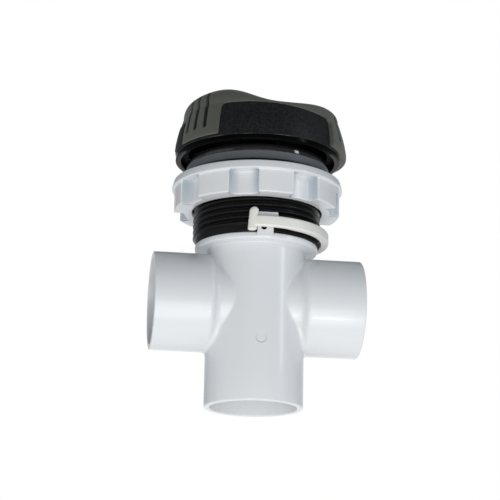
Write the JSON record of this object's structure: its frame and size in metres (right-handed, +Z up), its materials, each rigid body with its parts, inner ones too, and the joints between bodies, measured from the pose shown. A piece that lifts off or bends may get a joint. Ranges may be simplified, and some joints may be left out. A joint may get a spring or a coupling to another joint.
{
  "type": "three way valve",
  "caption": "Hand-turned three way diverter valve: moulded tee with pipe sockets, threaded collar, lugged lock nut and a soft-grip handle that turns a gate between side ports.",
  "frame": {"origin": "centre of the bottom port's rim, which the valve stands on", "axes": "+Z up the valve's axis towards the handle, side ports along X, key tab and clip finger towards -Y"},
  "size_m": [0.1454, 0.1206, 0.2183],
  "materials": {
    "white_plastic": "moulded, satin gloss",
    "clip_plastic": "moulded, matt",
    "black_plastic": "fine moulded texture",
    "gloss_black_plastic": "polished",
    "grip_rubber": "soft matt overmould",
    "seal_rubber": "moulded seal",
    "inner_plastic": "moulded",
    "stainless_steel": "bright"
  },
  "bodies": {
    "valve": {"valve_body": "white_plastic", "threaded_collar": "black_plastic", "collar_oring": "seal_rubber", "retaining_clip": "clip_plastic", "flange_gasket": "seal_rubber", "bonnet": "inner_plastic", "bonnet_oring": "seal_rubber", "bonnet_ring": "gloss_black_plastic", "stem_bush": "clip_plastic", "lower_wear_ring": "clip_plastic"},
    "nut_carriage": {"slip_washer": "black_plastic"},
    "lock_nut": {"lock_nut": "white_plastic"},
    "handle": {"handle_base": "black_plastic", "handle_overmould": "grip_rubber", "handle_screw": "stainless_steel", "screw_washer": "stainless_steel", "handle_cap": "black_plastic", "stem": "inner_plastic", "stem_oring_lower": "seal_rubber", "stem_oring_upper": "seal_rubber", "thrust_washer": "clip_plastic", "diverter_rotor": "inner_plastic", "gate_seal": "seal_rubber"}
  },
  "joints": [
    {"name": "handle_turn", "type": "hinge", "parent": "valve", "child": "handle", "pos_m": [0, 0, 0.19], "axis": [0, 0, 1], "range_deg": [-8, 172]},
    {"name": "nut_travel", "type": "slide", "parent": "valve", "child": "nut_carriage", "axis": [0, 0, 1], "range_m": [-0.008, 0]},
    {"name": "nut_turn", "type": "hinge", "parent": "nut_carriage", "child": "lock_nut", "pos_m": [0, 0, 0.15], "axis": [0, 0, 1], "range_deg": [-680, 0]}
  ],
  "couplings": [
    {"joint": "nut_travel", "follows": "nut_turn", "m_per_rad": 0.00067375}
  ]
}
